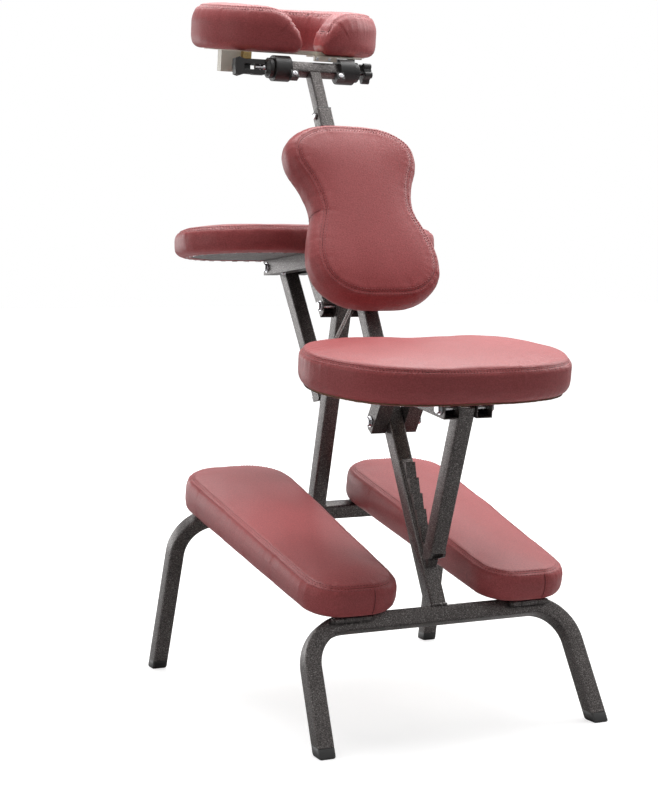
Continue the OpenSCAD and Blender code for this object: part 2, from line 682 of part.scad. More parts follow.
// Friction hubs beside the collars: a long arm on the left and a riser to the plate on the right
module cradle_hubs() color(black) in_head() difference() {
    union() {
        both() {
            translate([hub_in, 0, 0]) along_x() cylinder(r = 16.5, h = 6);
            translate([hub_in + 6, 0, 0]) along_x() cylinder(r1 = 14, r2 = 9, h = 4);
            translate([hub_in, 8, -5]) cube([6, 17.5, 18]);
        }
        translate([-hub_in - 46, 19.5, 2]) cube([46, 6, 11]);
        translate([hub_in, 19.5, 2]) cube([12, 6, plate_z - 4.4]);
    }
    bore_x(rod_r + fit, 300);
}

// Brass-plated block that joins the left arm to the head plate
module cradle_strap() color(brass) in_head() translate([-118, 14, 13]) cube([14, 11.5, plate_z - 13]);

module face_outline(grow) translate([0, face_y]) scale([face_a + grow, face_b + grow])
    circle(r = 1, $fn = 96);

module face_opening(grow) translate([0, face_y - 6]) scale([hole_a + grow, hole_b + grow])
    circle(r = 1, $fn = 72);

module plate_outline(grow) difference() {
    face_outline(grow - plate_inset);
    face_opening(8 - grow);
}

module head_plate() color(cream) in_head() translate([0, 0, plate_z]) linear_extrude(plate_t)
    plate_outline(0);

// Cream parts under the plate: a block at the left side, and a leaf with a tab at the near edge
module head_brackets() color(cream) in_head() {
    translate([-152, 25.6, -10]) cube([44, 17, plate_z + 10]);
    translate([2, -4, plate_z - 2.4]) cube([86, 36, 2.4]);
    translate([2, -4, plate_z - 9]) cube([40, 6, 7]);
}

// Open ring, its underside drawn down round the plate's edge
module face_cushion() color(vinyl) in_head() difference() {
    translate([0, 0, plate_z + 1]) linear_extrude(plate_t - 1 + face_thick) difference() {
        face_outline(0);
        face_opening(0);
        translate([-chin_gap / 2, face_y - face_b - 40]) square([chin_gap, face_b + 30]);
    }
    translate([0, 0, plate_z - 1]) linear_extrude(plate_t + 1) plate_outline(0.4);
}

module cradle_screws() color(zinc) in_head() {
    for (x = [6, 28]) translate([x, -4, plate_z - 5]) rotate([90, 0, 0]) cylinder(r = 2.6, h = 1.4);
    translate([-130, 25.6, 2]) rotate([90, 0, 0]) cylinder(r = 3, h = 1.8);
}

// Flat cam lever with a slot for the rod's end, swinging about a vertical pin
module cam_lever() color(black) translate(head_pivot) {
    difference() {
        translate([0, 7, 0]) rotate([90, 0, 0]) linear_extrude(14) union() {
            translate([-98, 0]) square([20, 24], center = true);
            polygon([[-94, -12], [-94, 12], [-120, 11], [-132, 15], [-139, 13], [-140, 0],
                [-139, -13], [-132, -15], [-120, -11]]);
        }
        translate([-124, -10, -rod_r - 0.4]) cube([41, 20, 2 * rod_r + 0.8]);
        translate([lever_pin_x, 0, -20]) cylinder(r = 2.5 + fit, h = 40);
    }
    // web across the far side of the slot
    translate([-125, 4, -rod_r - 1]) cube([16, 3, 2 * rod_r + 2]);
}

module star_knob() color(black) translate(head_pivot) difference() {
    translate([90.5, 0, 0]) along_x() lobed_knob(18, 13, 5);
    translate([80, 0, 0]) along_x() cylinder(r = rod_r + fit, h = rod_right + 0.5 - 80);
}

// ---------- assembly ----------

rear_u_frame();
main_post();
seat_ratchet();
rear_foot_caps();
fold_bracket();
fold_bolt();
post_bushing();
height_pin_boss();
height_pin();
seat_pivot_bolt();
knee_hinge_tabs();
knee_hinge_pins();
front_u_frame();
front_post();
armrest_notch_bar();
front_foot_caps();
armrest_pivot_bolt();
stay_cable();
cable_lug_rear();
cable_lug_front();
seat_rails();
seat_board();
seat_cushion();
seat_screws();
seat_brace();
seat_strut_bolt();
seat_strut();
seat_strut_shoe();
armrest_rails();
armrest_board();
armrest_cushion();
armrest_screws();
armrest_strut_bolt();
armrest_strut();
armrest_strut_shoe();
chest_bracket();
chest_board();
chest_cushion();
chest_screws();
chest_knob();
left_knee_board();
left_knee_cushion();
left_knee_hinge();
right_knee_board();
right_knee_cushion();
right_knee_hinge();
head_post();
head_crossbar();
clamp_collars();
clamp_rod();
cradle_hubs();
cradle_strap();
head_plate();
head_brackets();
face_cushion();
cradle_screws();
cam_lever();
star_knob();
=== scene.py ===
import json
import math

import bmesh
import bpy
import numpy as np
from mathutils import Matrix, Vector
from mathutils.bvhtree import BVHTree
from mathutils.kdtree import KDTree


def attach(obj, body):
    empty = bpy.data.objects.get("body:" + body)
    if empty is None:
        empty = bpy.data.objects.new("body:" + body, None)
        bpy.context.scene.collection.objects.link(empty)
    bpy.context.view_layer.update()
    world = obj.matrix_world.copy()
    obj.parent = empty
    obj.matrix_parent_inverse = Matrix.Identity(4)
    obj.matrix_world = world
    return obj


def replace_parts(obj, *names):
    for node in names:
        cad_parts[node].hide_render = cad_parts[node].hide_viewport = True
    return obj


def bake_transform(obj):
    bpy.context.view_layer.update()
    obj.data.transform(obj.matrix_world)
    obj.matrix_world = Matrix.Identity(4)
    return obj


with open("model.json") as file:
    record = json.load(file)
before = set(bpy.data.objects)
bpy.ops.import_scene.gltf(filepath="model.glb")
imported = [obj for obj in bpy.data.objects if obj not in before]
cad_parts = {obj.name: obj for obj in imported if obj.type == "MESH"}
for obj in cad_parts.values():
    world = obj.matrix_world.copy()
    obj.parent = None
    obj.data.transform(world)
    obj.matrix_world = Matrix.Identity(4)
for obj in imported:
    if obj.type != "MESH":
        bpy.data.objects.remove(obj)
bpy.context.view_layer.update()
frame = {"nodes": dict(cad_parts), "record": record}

SCENE = bpy.context.scene
MM = 0.001

# ---------------------------------------------------------------- camera, light, floor

cam_data = bpy.data.cameras.new("camera")
cam = bpy.data.objects.new("camera", cam_data)
SCENE.collection.objects.link(cam)
cam_data.sensor_fit = "AUTO"
cam_data.sensor_width = 36.0
cam_data.lens = 73.96
cam_data.shift_x = 0.0031
cam_data.shift_y = 0.0013
cam_data.clip_end = 100.0
cam.location = (-1.1446, -2.3454, 0.6517)
cam.rotation_euler = (math.radians(85.668), 0.0, math.radians(-25.003))
SCENE.camera = cam

world = bpy.data.worlds.new("studio")
SCENE.world = world
world.use_nodes = True
world_nodes = world.node_tree.nodes
world_links = world.node_tree.links
world_nodes.clear()
ray = world_nodes.new("ShaderNodeLightPath")


def backdrop(color, strength):
    node = world_nodes.new("ShaderNodeBackground")
    node.inputs["Color"].default_value = (*color, 1.0)
    node.inputs["Strength"].default_value = strength
    return node.outputs[0]


def chosen_by(kind, otherwise, chosen):
    """One shader for rays of this kind and another for the rest."""
    node = world_nodes.new("ShaderNodeMixShader")
    world_links.new(ray.outputs[kind], node.inputs["Fac"])
    world_links.new(otherwise, node.inputs[1])
    world_links.new(chosen, node.inputs[2])
    return node.outputs[0]


# A dim fill for soft light, a brighter surround for reflections and plain white for the camera
surround = chosen_by("Is Glossy Ray", backdrop((0.98, 0.985, 1.0), 0.13), backdrop((1.0, 1.0, 1.0), 0.75))
seen = chosen_by("Is Camera Ray", surround, backdrop((1.0, 1.0, 1.0), 1.0))
world_links.new(seen, world_nodes.new("ShaderNodeOutputWorld").inputs["Surface"])
SCENE.view_settings.view_transform = "Standard"
SCENE.view_settings.look = "None"


def area_light(name, loc, target, size, power):
    data = bpy.data.lights.new(name, "AREA")
    data.shape = "RECTANGLE"
    data.size, data.size_y = size
    data.energy = power
    o = bpy.data.objects.new(name, data)
    o.location = loc
    o.rotation_euler = (Vector(target) - Vector(loc)).to_track_quat("-Z", "Y").to_euler()
    SCENE.collection.objects.link(o)
    return o


area_light("key_top", (0.4, 0.8, 3.2), (0, 0, 0.4), (3.6, 3.2), 190)
area_light("key_right", (2.6, 0.2, 2.2), (0, 0, 0.5), (1.4, 1.4), 34)
area_light("strip_left", (-2.9, -0.3, 1.1), (0, 0, 0.45), (0.8, 1.9), 11)
area_light("fill_front", (0.6, -3.4, 1.3), (0, 0, 0.5), (2.2, 1.4), 2)
# A white panel that only shows as a reflection, on the faces turned away to the left
area_light("sheen_back_left", (-1.5, 2.7, 0.6), (-0.1, 0, 0.4), (2.0, 1.6), 30).visible_diffuse = False

# ---------------------------------------------------------------- materials

def material(name):
    """A new material with its nodes, its links and its shader."""
    mat = bpy.data.materials.new(name)
    mat.use_nodes = True
    nodes = mat.node_tree.nodes
    return mat, nodes, mat.node_tree.links, nodes["Principled BSDF"]


def coords(nodes, links, scale=(1, 1, 1)):
    """The object's own coordinates, stretched by a scale."""
    source = nodes.new("ShaderNodeTexCoord")
    node = nodes.new("ShaderNodeMapping")
    node.inputs["Scale"].default_value = scale
    links.new(source.outputs["Object"], node.inputs["Vector"])
    return node.outputs["Vector"]


def noise_tex(nodes, links, vec, scale, detail=3.0, rough=0.55):
    node = nodes.new("ShaderNodeTexNoise")
    node.inputs["Scale"].default_value = scale
    node.inputs["Detail"].default_value = detail
    node.inputs["Roughness"].default_value = rough
    links.new(vec, node.inputs["Vector"])
    return node.outputs["Fac"]


def ramp(nodes, links, fac, stops):
    """A colour ramp through stops of (position, colour)."""
    node = nodes.new("ShaderNodeValToRGB")
    marks = node.color_ramp.elements
    marks[0].position, marks[0].color = stops[0][0], (*stops[0][1], 1)
    marks[1].position, marks[1].color = stops[-1][0], (*stops[-1][1], 1)
    for position, color in stops[1:-1]:
        marks.new(position).color = (*color, 1)
    links.new(fac, node.inputs["Fac"])
    return node.outputs["Color"]


def multiplied(nodes, links, a, b):
    node = nodes.new("ShaderNodeMix")
    node.data_type = "RGBA"
    node.blend_type = "MULTIPLY"
    node.inputs[0].default_value = 1.0
    links.new(a, node.inputs[6])
    links.new(b, node.inputs[7])
    return node.outputs[2]


def bump(nodes, links, height, strength, distance, normal=None):
    node = nodes.new("ShaderNodeBump")
    node.inputs["Strength"].default_value = strength
    node.inputs["Distance"].default_value = distance
    links.new(height, node.inputs["Height"])
    if normal is not None:
        links.new(normal, node.inputs["Normal"])
    return node.outputs["Normal"]


def map_range(nodes, links, value, lo, hi, out_lo, out_hi):
    node = nodes.new("ShaderNodeMapRange")
    node.inputs[1].default_value, node.inputs[2].default_value = lo, hi
    node.inputs[3].default_value, node.inputs[4].default_value = out_lo, out_hi
    links.new(value, node.inputs[0])
    return node.outputs[0]


def rounded(nodes, radius):
    """Shading that rounds sharp edges."""
    node = nodes.new("ShaderNodeBevel")
    node.samples = 4
    node.inputs["Radius"].default_value = radius
    return node.outputs["Normal"]


def vinyl_material(name, dark=1.0):
    mat, nodes, links, shader = material(name)
    point = coords(nodes, links)
    patch = noise_tex(nodes, links, point, 5.0, 4.0)
    base = ramp(nodes, links, patch, [(0.35, tuple(dark * c for c in (0.350, 0.068, 0.070))),
                                      (0.65, tuple(dark * c for c in (0.405, 0.084, 0.087)))])
    grain = noise_tex(nodes, links, point, 520.0, 2.0)
    speck = ramp(nodes, links, grain, [(0.30, (0.80, 0.78, 0.78)), (0.70, (1.14, 1.16, 1.16))])
    links.new(multiplied(nodes, links, base, speck), shader.inputs["Base Color"])
    links.new(map_range(nodes, links, patch, 0.3, 0.7, 0.40, 0.50), shader.inputs["Roughness"])
    cell = nodes.new("ShaderNodeTexVoronoi")
    cell.inputs["Scale"].default_value = 620.0
    links.new(point, cell.inputs["Vector"])
    first = bump(nodes, links, cell.outputs["Distance"], 0.22, 0.0006)
    second = bump(nodes, links, noise_tex(nodes, links, point, 260.0, 3.0), 0.12, 0.001, first)
    links.new(second, shader.inputs["Normal"])
    shader.inputs["Specular IOR Level"].default_value = 0.3
    shader.inputs["Sheen Weight"].default_value = 0.05
    shader.inputs["Sheen Roughness"].default_value = 0.4
    return mat


def paint_material():
    mat, nodes, links, shader = material("hammered_paint")
    point = coords(nodes, links)
    fine = noise_tex(nodes, links, point, 620.0, 3.0, 0.7)
    base = ramp(nodes, links, fine, [(0.38, (0.032, 0.027, 0.026)), (0.55, (0.100, 0.088, 0.084)),
                                     (0.72, (0.36, 0.34, 0.33))])
    patch = noise_tex(nodes, links, point, 24.0, 3.0)
    broad = ramp(nodes, links, patch, [(0.3, (0.86, 0.85, 0.85)), (0.7, (1.1, 1.1, 1.1))])
    links.new(multiplied(nodes, links, base, broad), shader.inputs["Base Color"])
    links.new(map_range(nodes, links, fine, 0.3, 0.7, 0.46, 0.30), shader.inputs["Roughness"])
    dimple = bump(nodes, links, noise_tex(nodes, links, point, 330.0, 2.0), 0.35, 0.0012,
                  rounded(nodes, 0.0016))
    links.new(dimple, shader.inputs["Normal"])
    shader.inputs["Metallic"].default_value = 0.45
    shader.inputs["Specular IOR Level"].default_value = 0.6
    return mat


def metal_material(name, color, rough):
    mat, nodes, links, shader = material(name)
    point = coords(nodes, links, (60, 60, 900))
    streak = noise_tex(nodes, links, point, 1.0, 3.0)
    wide = noise_tex(nodes, links, coords(nodes, links), 90.0, 3.0)
    base = ramp(nodes, links, wide, [(0.35, tuple(0.82 * c for c in color)), (0.65, color)])
    links.new(base, shader.inputs["Base Color"])
    links.new(map_range(nodes, links, streak, 0.3, 0.7, rough * 0.75, rough * 1.3),
              shader.inputs["Roughness"])
    links.new(bump(nodes, links, streak, 0.08, 0.0004, rounded(nodes, 0.0005)), shader.inputs["Normal"])
    shader.inputs["Metallic"].default_value = 1.0
    return mat


def plastic_material(name, color, rough, spread):
    mat, nodes, links, shader = material(name)
    point = coords(nodes, links)
    patch = noise_tex(nodes, links, point, 40.0, 4.0)
    base = ramp(nodes, links, patch, [(0.35, tuple((1 - spread) * c for c in color)),
                                      (0.65, tuple((1 + spread) * c for c in color))])
    links.new(base, shader.inputs["Base Color"])
    links.new(map_range(nodes, links, patch, 0.3, 0.7, rough * 0.88, rough * 1.12),
              shader.inputs["Roughness"])
    links.new(bump(nodes, links, noise_tex(nodes, links, point, 900.0, 2.0), 0.16, 0.0004,
                   rounded(nodes, 0.001)),
              shader.inputs["Normal"])
    return mat


def plywood_material():
    mat, nodes, links, shader = material("plywood_raw")
    point = coords(nodes, links, (9, 160, 160))
    grain = noise_tex(nodes, links, point, 1.0, 6.0, 0.65)
    base = ramp(nodes, links, grain, [(0.30, (0.30, 0.19, 0.10)), (0.5, (0.46, 0.32, 0.18)),
                                      (0.70, (0.56, 0.42, 0.26))])
    links.new(base, shader.inputs["Base Color"])
    links.new(map_range(nodes, links, grain, 0.3, 0.7, 0.72, 0.58), shader.inputs["Roughness"])
    links.new(bump(nodes, links, grain, 0.25, 0.0006), shader.inputs["Normal"])
    return mat


def lining_material():
    mat, nodes, links, shader = material("grey_lining")
    point = coords(nodes, links)
    fibre = noise_tex(nodes, links, point, 700.0, 4.0, 0.7)
    blot = noise_tex(nodes, links, point, 60.0, 3.0)
    base = ramp(nodes, links, fibre, [(0.3, (0.11, 0.11, 0.11)), (0.7, (0.36, 0.355, 0.35))])
    tone = ramp(nodes, links, blot, [(0.3, (0.8, 0.8, 0.8)), (0.7, (1.15, 1.15, 1.15))])
    links.new(multiplied(nodes, links, base, tone), shader.inputs["Base Color"])
    links.new(map_range(nodes, links, fibre, 0.3, 0.7, 0.96, 0.82), shader.inputs["Roughness"])
    links.new(bump(nodes, links, fibre, 0.6, 0.001), shader.inputs["Normal"])
    return mat


def braid_material():
    mat, nodes, links, shader = material("braided_cable")
    point = coords(nodes, links)
    weave = nodes.new("ShaderNodeTexWave")
    weave.wave_type = "BANDS"
    weave.bands_direction = "DIAGONAL"
    weave.inputs["Scale"].default_value = 330.0
    weave.inputs["Distortion"].default_value = 1.2
    links.new(point, weave.inputs["Vector"])
    # The colour follows the same bands as the bump, darker where the bump is low: painted shade in the
    # grooves between the strands
    base = ramp(nodes, links, weave.outputs["Fac"], [(0.1, (0.40, 0.40, 0.39)), (0.6, (0.78, 0.78, 0.76))])
    links.new(base, shader.inputs["Base Color"])
    links.new(map_range(nodes, links, weave.outputs["Fac"], 0.0, 1.0, 0.6, 0.4), shader.inputs["Roughness"])
    links.new(bump(nodes, links, weave.outputs["Fac"], 0.7, 0.0008), shader.inputs["Normal"])
    shader.inputs["Metallic"].default_value = 0.35
    return mat


def thread_material():
    mat, nodes, links, shader = material("stitch_thread")
    point = coords(nodes, links)
    fibre = noise_tex(nodes, links, point, 1500.0, 2.0)
    links.new(ramp(nodes, links, fibre, [(0.3, (0.25, 0.055, 0.058)), (0.7, (0.44, 0.14, 0.14))]),
              shader.inputs["Base Color"])
    links.new(map_range(nodes, links, fibre, 0.3, 0.7, 0.6, 0.5), shader.inputs["Roughness"])
    links.new(bump(nodes, links, fibre, 0.4, 0.0003), shader.inputs["Normal"])
    return mat


MAT = {
    "frame_paint": paint_material(),
    "zinc": metal_material("zinc_plate", (0.66, 0.66, 0.68), 0.26),
    "vinyl": vinyl_material("upholstery_vinyl"),
    "plywood": plywood_material(),
    "lining": lining_material(),
    "black_plastic": plastic_material("black_moulding", (0.022, 0.021, 0.021), 0.46, 0.2),
    "cream_plastic": plastic_material("cream_moulding", (0.74, 0.69, 0.59), 0.40, 0.04),
    "brass": metal_material("brass_plate", (0.58, 0.40, 0.17), 0.30),
    "cable": braid_material(),
    # Vinyl darkened to 0.28: painted shade, for the thin tubes laid in the seams and the upright joints
    "seam": vinyl_material("seam_shadow", 0.28),
    "thread": thread_material(),
}


def floor_material():
    """Pale paper that catches soft shadows near the object, with a painted glow, seen by the camera only,
    that grows with distance and runs it out to plain white.
    """
    mat, nodes, links, shader = material("studio_floor")
    source = nodes.new("ShaderNodeTexCoord")
    distance = nodes.new("ShaderNodeVectorMath")
    distance.operation = "LENGTH"
    links.new(source.outputs["Object"], distance.inputs[0])
    mottle = noise_tex(nodes, links, source.outputs["Object"], 2.0, 2.0)
    links.new(ramp(nodes, links, mottle, [(0.3, (0.44, 0.44, 0.44)), (0.7, (0.46, 0.46, 0.46))]),
              shader.inputs["Base Color"])
    shader.inputs["Roughness"].default_value = 0.7
    shader.inputs["Specular IOR Level"].default_value = 0.1
    # Painted light: the floor glows, from 0.72 near the object to 1.05 far off, standing in for light so that
    # its fall-off reads as plain white
    painted_glow = nodes.new("ShaderNodeEmission")
    links.new(map_range(nodes, links, distance.outputs["Value"], 0.75, 1.9, 0.72, 1.05),
              painted_glow.inputs["Strength"])
    add = nodes.new("ShaderNodeAddShader")
    links.new(shader.outputs[0], add.inputs[0])
    links.new(painted_glow.outputs[0], add.inputs[1])
    # Only camera rays see the painted glow; other rays meet the plain pale paper
    path = nodes.new("ShaderNodeLightPath")
    pick = nodes.new("ShaderNodeMixShader")
    links.new(path.outputs["Is Camera Ray"], pick.inputs["Fac"])
    links.new(shader.outputs[0], pick.inputs[1])
    links.new(add.outputs[0], pick.inputs[2])
    links.new(pick.outputs[0], nodes["Material Output"].inputs["Surface"])
    return mat


FLOOR_MAT = floor_material()

for part in frame["record"]["subparts"]:
    node = frame["nodes"][part["node"]]
    node.data.materials.clear()
    node.data.materials.append(MAT[part["material_slot"]])


# ---------------------------------------------------------------- helpers

def mesh_object(name, verts, faces, mat, smooth=True):
    me = bpy.data.meshes.new(name)
    me.from_pydata([tuple(v) for v in verts], [], faces)
    me.validate()
    me.materials.append(MAT[mat])
    if smooth:
        me.polygons.foreach_set("use_smooth", [True] * len(me.polygons))
    me.update()
    o = bpy.data.objects.new(name, me)
    SCENE.collection.objects.link(o)
    return o


def piece(name, verts, faces, mat, body, matrix):
    """A mesh given in millimetres in a local frame, placed in the row frame and riding on a body."""
    o = mesh_object(name, verts, faces, mat)
    o.data.transform(matrix @ Matrix.Scale(MM, 4))
    with_edges(o)
    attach(o, body)
    return o


def with_edges(o):
    """Keeps edges that turn by more than 40 degrees crisp."""
    bm = bmesh.new()
    bm.from_mesh(o.data)
    for e in bm.edges:
        if len(e.link_faces) == 2 and e.calc_face_angle(0.0) > math.radians(40):
            e.smooth = False
    bm.to_mesh(o.data)
    bm.free()


def moved(x, y, z):
    return Matrix.Translation(Vector((x, y, z)) * MM)


def tilted(deg):
    return Matrix.Rotation(math.radians(deg), 4, "X")


# Leans and slopes in degrees, and the y of each frame's feet on the floor
REAR_LEAN, FRONT_LEAN = 27.8, 16.8
SEAT_SLOPE, ARM_SLOPE, KNEE_SLOPE, HEAD_TILT = 8.0, 3.8, 12.3758, 8.5
REAR_FOOT_Y, FRONT_FOOT_Y = -358.2, 231.01
REAR_SIN, REAR_COS = math.sin(math.radians(REAR_LEAN)), math.cos(math.radians(REAR_LEAN))
FRONT_SIN, FRONT_COS = math.sin(math.radians(FRONT_LEAN)), math.cos(math.radians(FRONT_LEAN))


def in_rear(s):
    """The frame of the leaning main post, s millimetres up it."""
    return moved(0, REAR_FOOT_Y + s * REAR_SIN, s * REAR_COS) @ tilted(-REAR_LEAN)


def in_front(s):
    """The frame of the leaning front post, s millimetres up it."""
    return moved(0, FRONT_FOOT_Y - s * FRONT_SIN, s * FRONT_COS) @ tilted(FRONT_LEAN)


# The cushions' own frames: outline in XY, underside at z = 0; the face ring stands 25 mm above IN_HEAD
IN_SEAT = moved(0, -265.003, 492.272) @ tilted(SEAT_SLOPE)
IN_ARM = moved(0, 188.576, 685.051) @ tilted(-ARM_SLOPE)
IN_CHEST = in_rear(808) @ moved(0, -29.5, 0) @ tilted(90)
IN_HEAD = moved(0, 165.09, 992.50) @ tilted(HEAD_TILT)


def in_knee(side):
    return moved(side * 145.0, -277.84, 177.78) @ tilted(KNEE_SLOPE)


def catmull(p, q, r, s, t):
    return 0.5 * (2 * q + (r - p) * t + (2 * p - 5 * q + 4 * r - s) * t * t
                  + (3 * q - p - 3 * r + s) * t ** 3)


def outline(half):
    """A smooth closed curve through half an outline and its mirror image."""
    steps = 10
    pts = [np.array(p, float) for p in half]
    pts += [np.array([-p[0], p[1]], float) for p in half[-2:0:-1]]
    k = len(pts)
    return np.array([catmull(pts[i - 1], pts[i], pts[(i + 1) % k], pts[(i + 2) % k], j / steps)
                     for i in range(k) for j in range(steps)])


def resample(poly, step):
    closed = np.vstack([poly, poly[:1]])
    seg = np.linalg.norm(np.diff(closed, axis=0), axis=1)
    s = np.concatenate([[0], np.cumsum(seg)])
    n = max(int(round(s[-1] / step)), 12)
    at = np.linspace(0, s[-1], n, endpoint=False)
    return np.column_stack([np.interp(at, s, closed[:, 0]), np.interp(at, s, closed[:, 1])])


def signed_area(poly):
    """Twice the area, positive when the polygon runs anticlockwise."""
    x, y = poly[:, 0], poly[:, 1]
    return float(np.sum(x * np.roll(y, -1) - np.roll(x, -1) * y))


def outline_normals(poly):
    """Outward normals of a closed polygon that runs anticlockwise."""
    t = np.roll(poly, -1, 0) - np.roll(poly, 1, 0)
    t /= np.linalg.norm(t, axis=1)[:, None]
    return np.column_stack([t[:, 1], -t[:, 0]])


def anticlockwise(poly):
    return poly if signed_area(poly) > 0 else poly[::-1]


def depth_inside(points, poly):
    """Distance from each point to the polygon, positive inside it."""
    a, b = poly, np.roll(poly, -1, 0)
    out = np.empty(len(points))
    for i in range(0, len(points), 4000):
        p = points[i:i + 4000]
        d = b - a
        t = ((p[:, None] - a) * d).sum(2) / (d * d).sum(1)
        q = a + np.clip(t, 0, 1)[..., None] * d
        dist = np.linalg.norm(p[:, None] - q, axis=2).min(1)
        spans = (a[:, 1] > p[:, None, 1]) != (b[:, 1] > p[:, None, 1])
        rise = np.where(d[:, 1] == 0, 1e-9, d[:, 1])
        cross = spans & (p[:, None, 0] < d[:, 0] * (p[:, None, 1] - a[:, 1]) / rise + a[:, 0])
        inside = cross.sum(1) % 2 == 1
        out[i:i + 4000] = np.where(inside, dist, -dist)
    return out


def wavy(p, scale, seed, n=7):
    """A smooth wandering value, about -1 to 1, at each point."""
    rng = np.random.RandomState(seed)
    k = rng.normal(size=(n, p.shape[1])) * scale
    ph = rng.uniform(0, 6.28, n)
    return np.sin(p @ k.T + ph).sum(1) / math.sqrt(n) / 1.2


def get_co(me):
    co = np.empty(len(me.vertices) * 3)
    me.vertices.foreach_get("co", co)
    return co.reshape(-1, 3)


def set_co(me, co):
    me.vertices.foreach_set("co", co.astype(np.float32).ravel())
    me.update()


def vertex_normals(me):
    no = np.empty(len(me.vertices) * 3)
    me.vertices.foreach_get("normal", no)
    return no.reshape(-1, 3)


def applied(o):
    """Applies o's modifiers to its mesh."""
    dg = bpy.context.evaluated_depsgraph_get()
    dg.update()
    me = bpy.data.meshes.new_from_object(o.evaluated_get(dg))
    o.modifiers.clear()
    old = o.data
    o.data = me
    bpy.data.meshes.remove(old)


def sweep_tube(points, sides, radius, ring_fn=None):
    """Verts and faces of a capped tube along points, of round section."""
    pts = np.array(points, float)
    pts = pts[np.concatenate([[True], np.linalg.norm(np.diff(pts, axis=0), axis=1) > 1e-4])]
    tan = np.gradient(pts, axis=0)
    tan /= np.maximum(np.linalg.norm(tan, axis=1), 1e-9)[:, None]
    up = np.array([0.31, 0.17, 0.93])
    verts, faces = [], []
    for i, (p, t) in enumerate(zip(pts, tan)):
        a = np.cross(t, up)
        a /= np.linalg.norm(a)
        b = np.cross(t, a)
        r = radius if ring_fn is None else radius * ring_fn(i)
        for k in range(sides):
            g = 2 * math.pi * k / sides
            verts.append(p + r * (math.cos(g) * a + math.sin(g) * b))
    m = len(pts)
    for j in range(m - 1):
        for k in range(sides):
            faces.append((j * sides + k, j * sides + (k + 1) % sides,
                          (j + 1) * sides + (k + 1) % sides, (j + 1) * sides + k))
    faces.append(tuple(range(sides - 1, -1, -1)))
    faces.append(tuple((m - 1) * sides + k for k in range(sides)))
    return verts, faces


def gather(parts):
    """One verts and faces pair from several."""
    verts, faces = [], []
    for v, f in parts:
        base = len(verts)
        verts += list(v)
        faces += [tuple(i + base for i in g) for g in f]
    return verts, faces


def square_section(size, r):
    """Points of a square with rounded corners, anticlockwise."""
    steps = 4
    h = size / 2 - r
    return np.array([(cx * h + r * math.cos(g), cy * h + r * math.sin(g))
                     for (cx, cy, g0) in ((1, 1, 0), (-1, 1, 90), (-1, -1, 180), (1, -1, 270))
                     for g in [math.radians(g0 + 90 * k / steps) for k in range(steps + 1)]])


def square_tube(stations, size, r, wall):
    """Hollow tube with rounded corners; stations are (point, across, side) with unit vectors."""
    outer, inner = square_section(size, r), square_section(size - 2 * wall, max(r - wall, 0.4))
    k = len(outer)
    verts, faces = [], []
    for sec in (outer, inner):
        for p, a, b in stations:
            for u, v in sec:
                verts.append(np.array(p) + u * np.array(a) + v * np.array(b))
    m = len(stations)
    base = m * k
    for j in range(m - 1):
        for i in range(k):
            q = (i + 1) % k
            faces.append((j * k + i, j * k + q, (j + 1) * k + q, (j + 1) * k + i))
            faces.append((base + j * k + i, base + (j + 1) * k + i, base + (j + 1) * k + q, base + j * k + q))
    for j in (0, m - 1):
        for i in range(k):
            q = (i + 1) % k
            f = (j * k + i, base + j * k + i, base + j * k + q, j * k + q)
            faces.append(f if j == 0 else f[::-1])
    return verts, faces


# ---------------------------------------------------------------- frame tubes with rounded corners

TUBE, TUBE_R = 25, 3.2         # square tube of the frames and struts, and its corner radius
HEAD_TUBE, HEAD_TUBE_R = 20, 2.4
WALL = 1.5
SPLAY = 3                      # lean of the legs out to the sides, in degrees
BEND_R = 62                    # centre line of the bends between the legs and the crossbar
LEG_START = 8                  # where the legs begin, before they are cut off level
REAR_HALF_W, FRONT_HALF_W = 221, 256
REAR_BAR, FRONT_BAR = 181, 269.7
CAP_TOP = 14.0                 # height at which the tubes end and the foot plugs show
# Height and size of each level of a foot plug
FOOT_PROFILE = ((CAP_TOP, 24.2), (13.3, 24.4), (12.9, 25.0), (4.0, 25.0), (2.0, 24.6), (0.8, 23.6),
                (0.0, 21.6))


def u_stations(half_w, bar_s):
    """Stations along a U-frame, from its right foot over the crossbar to its left foot."""
    g = math.radians(SPLAY)
    down, across = np.array([math.sin(g), -math.cos(g)]), np.array([math.cos(g), math.sin(g)])
    leg = (bar_s - BEND_R + BEND_R * math.sin(g)) / math.cos(g)
    middle = np.array([half_w - BEND_R * math.cos(g) - leg * math.sin(g), bar_s - BEND_R])
    top = middle + BEND_R * across
    right = [(top + (leg - LEG_START) * t * down, across) for t in np.linspace(1, 0, 4)]
    for a in np.linspace(g, math.pi / 2, 22)[1:]:
        n = np.array([math.cos(a), math.sin(a)])
        right.append((middle + BEND_R * n, n))
    left = [(np.array([-p[0], p[1]]), np.array([-n[0], n[1]])) for p, n in right[::-1]]
    return [((p[0], 0, p[1]), (n[0], 0, n[1]), (0, 1, 0)) for p, n in right + left]


def at_height(place, p, along, h):
    """The point where the line through p meets a level h above the floor, in the local frame."""
    a = place @ (Vector(p) * MM)
    d = place.to_3x3() @ Vector(along)
    return np.array(p) + np.array(along) * ((h * MM - a.z) / d.z) / MM


def foot_plug(place, half_w, side, down):
    """A plug that shows below the tube's end and stands flat on the floor."""
    foot = np.array([side * half_w, 0, 0.0])
    across = np.array([math.cos(math.radians(SPLAY)), 0, side * math.sin(math.radians(SPLAY))])
    verts = [at_height(place, foot + across * u + np.array([0, w, 0]), down, h)
             for h, size in FOOT_PROFILE for u, w in square_section(size, TUBE_R)]
    levels = len(FOOT_PROFILE)
    ring = len(verts) // levels
    faces = [(a * ring + k, (a + 1) * ring + k, (a + 1) * ring + (k + 1) % ring, a * ring + (k + 1) % ring)
             for a in range(levels - 1) for k in range(ring)]
    faces.append(tuple(range(ring)))
    faces.append(tuple((levels - 1) * ring + k for k in range(ring - 1, -1, -1)))
    return verts, faces


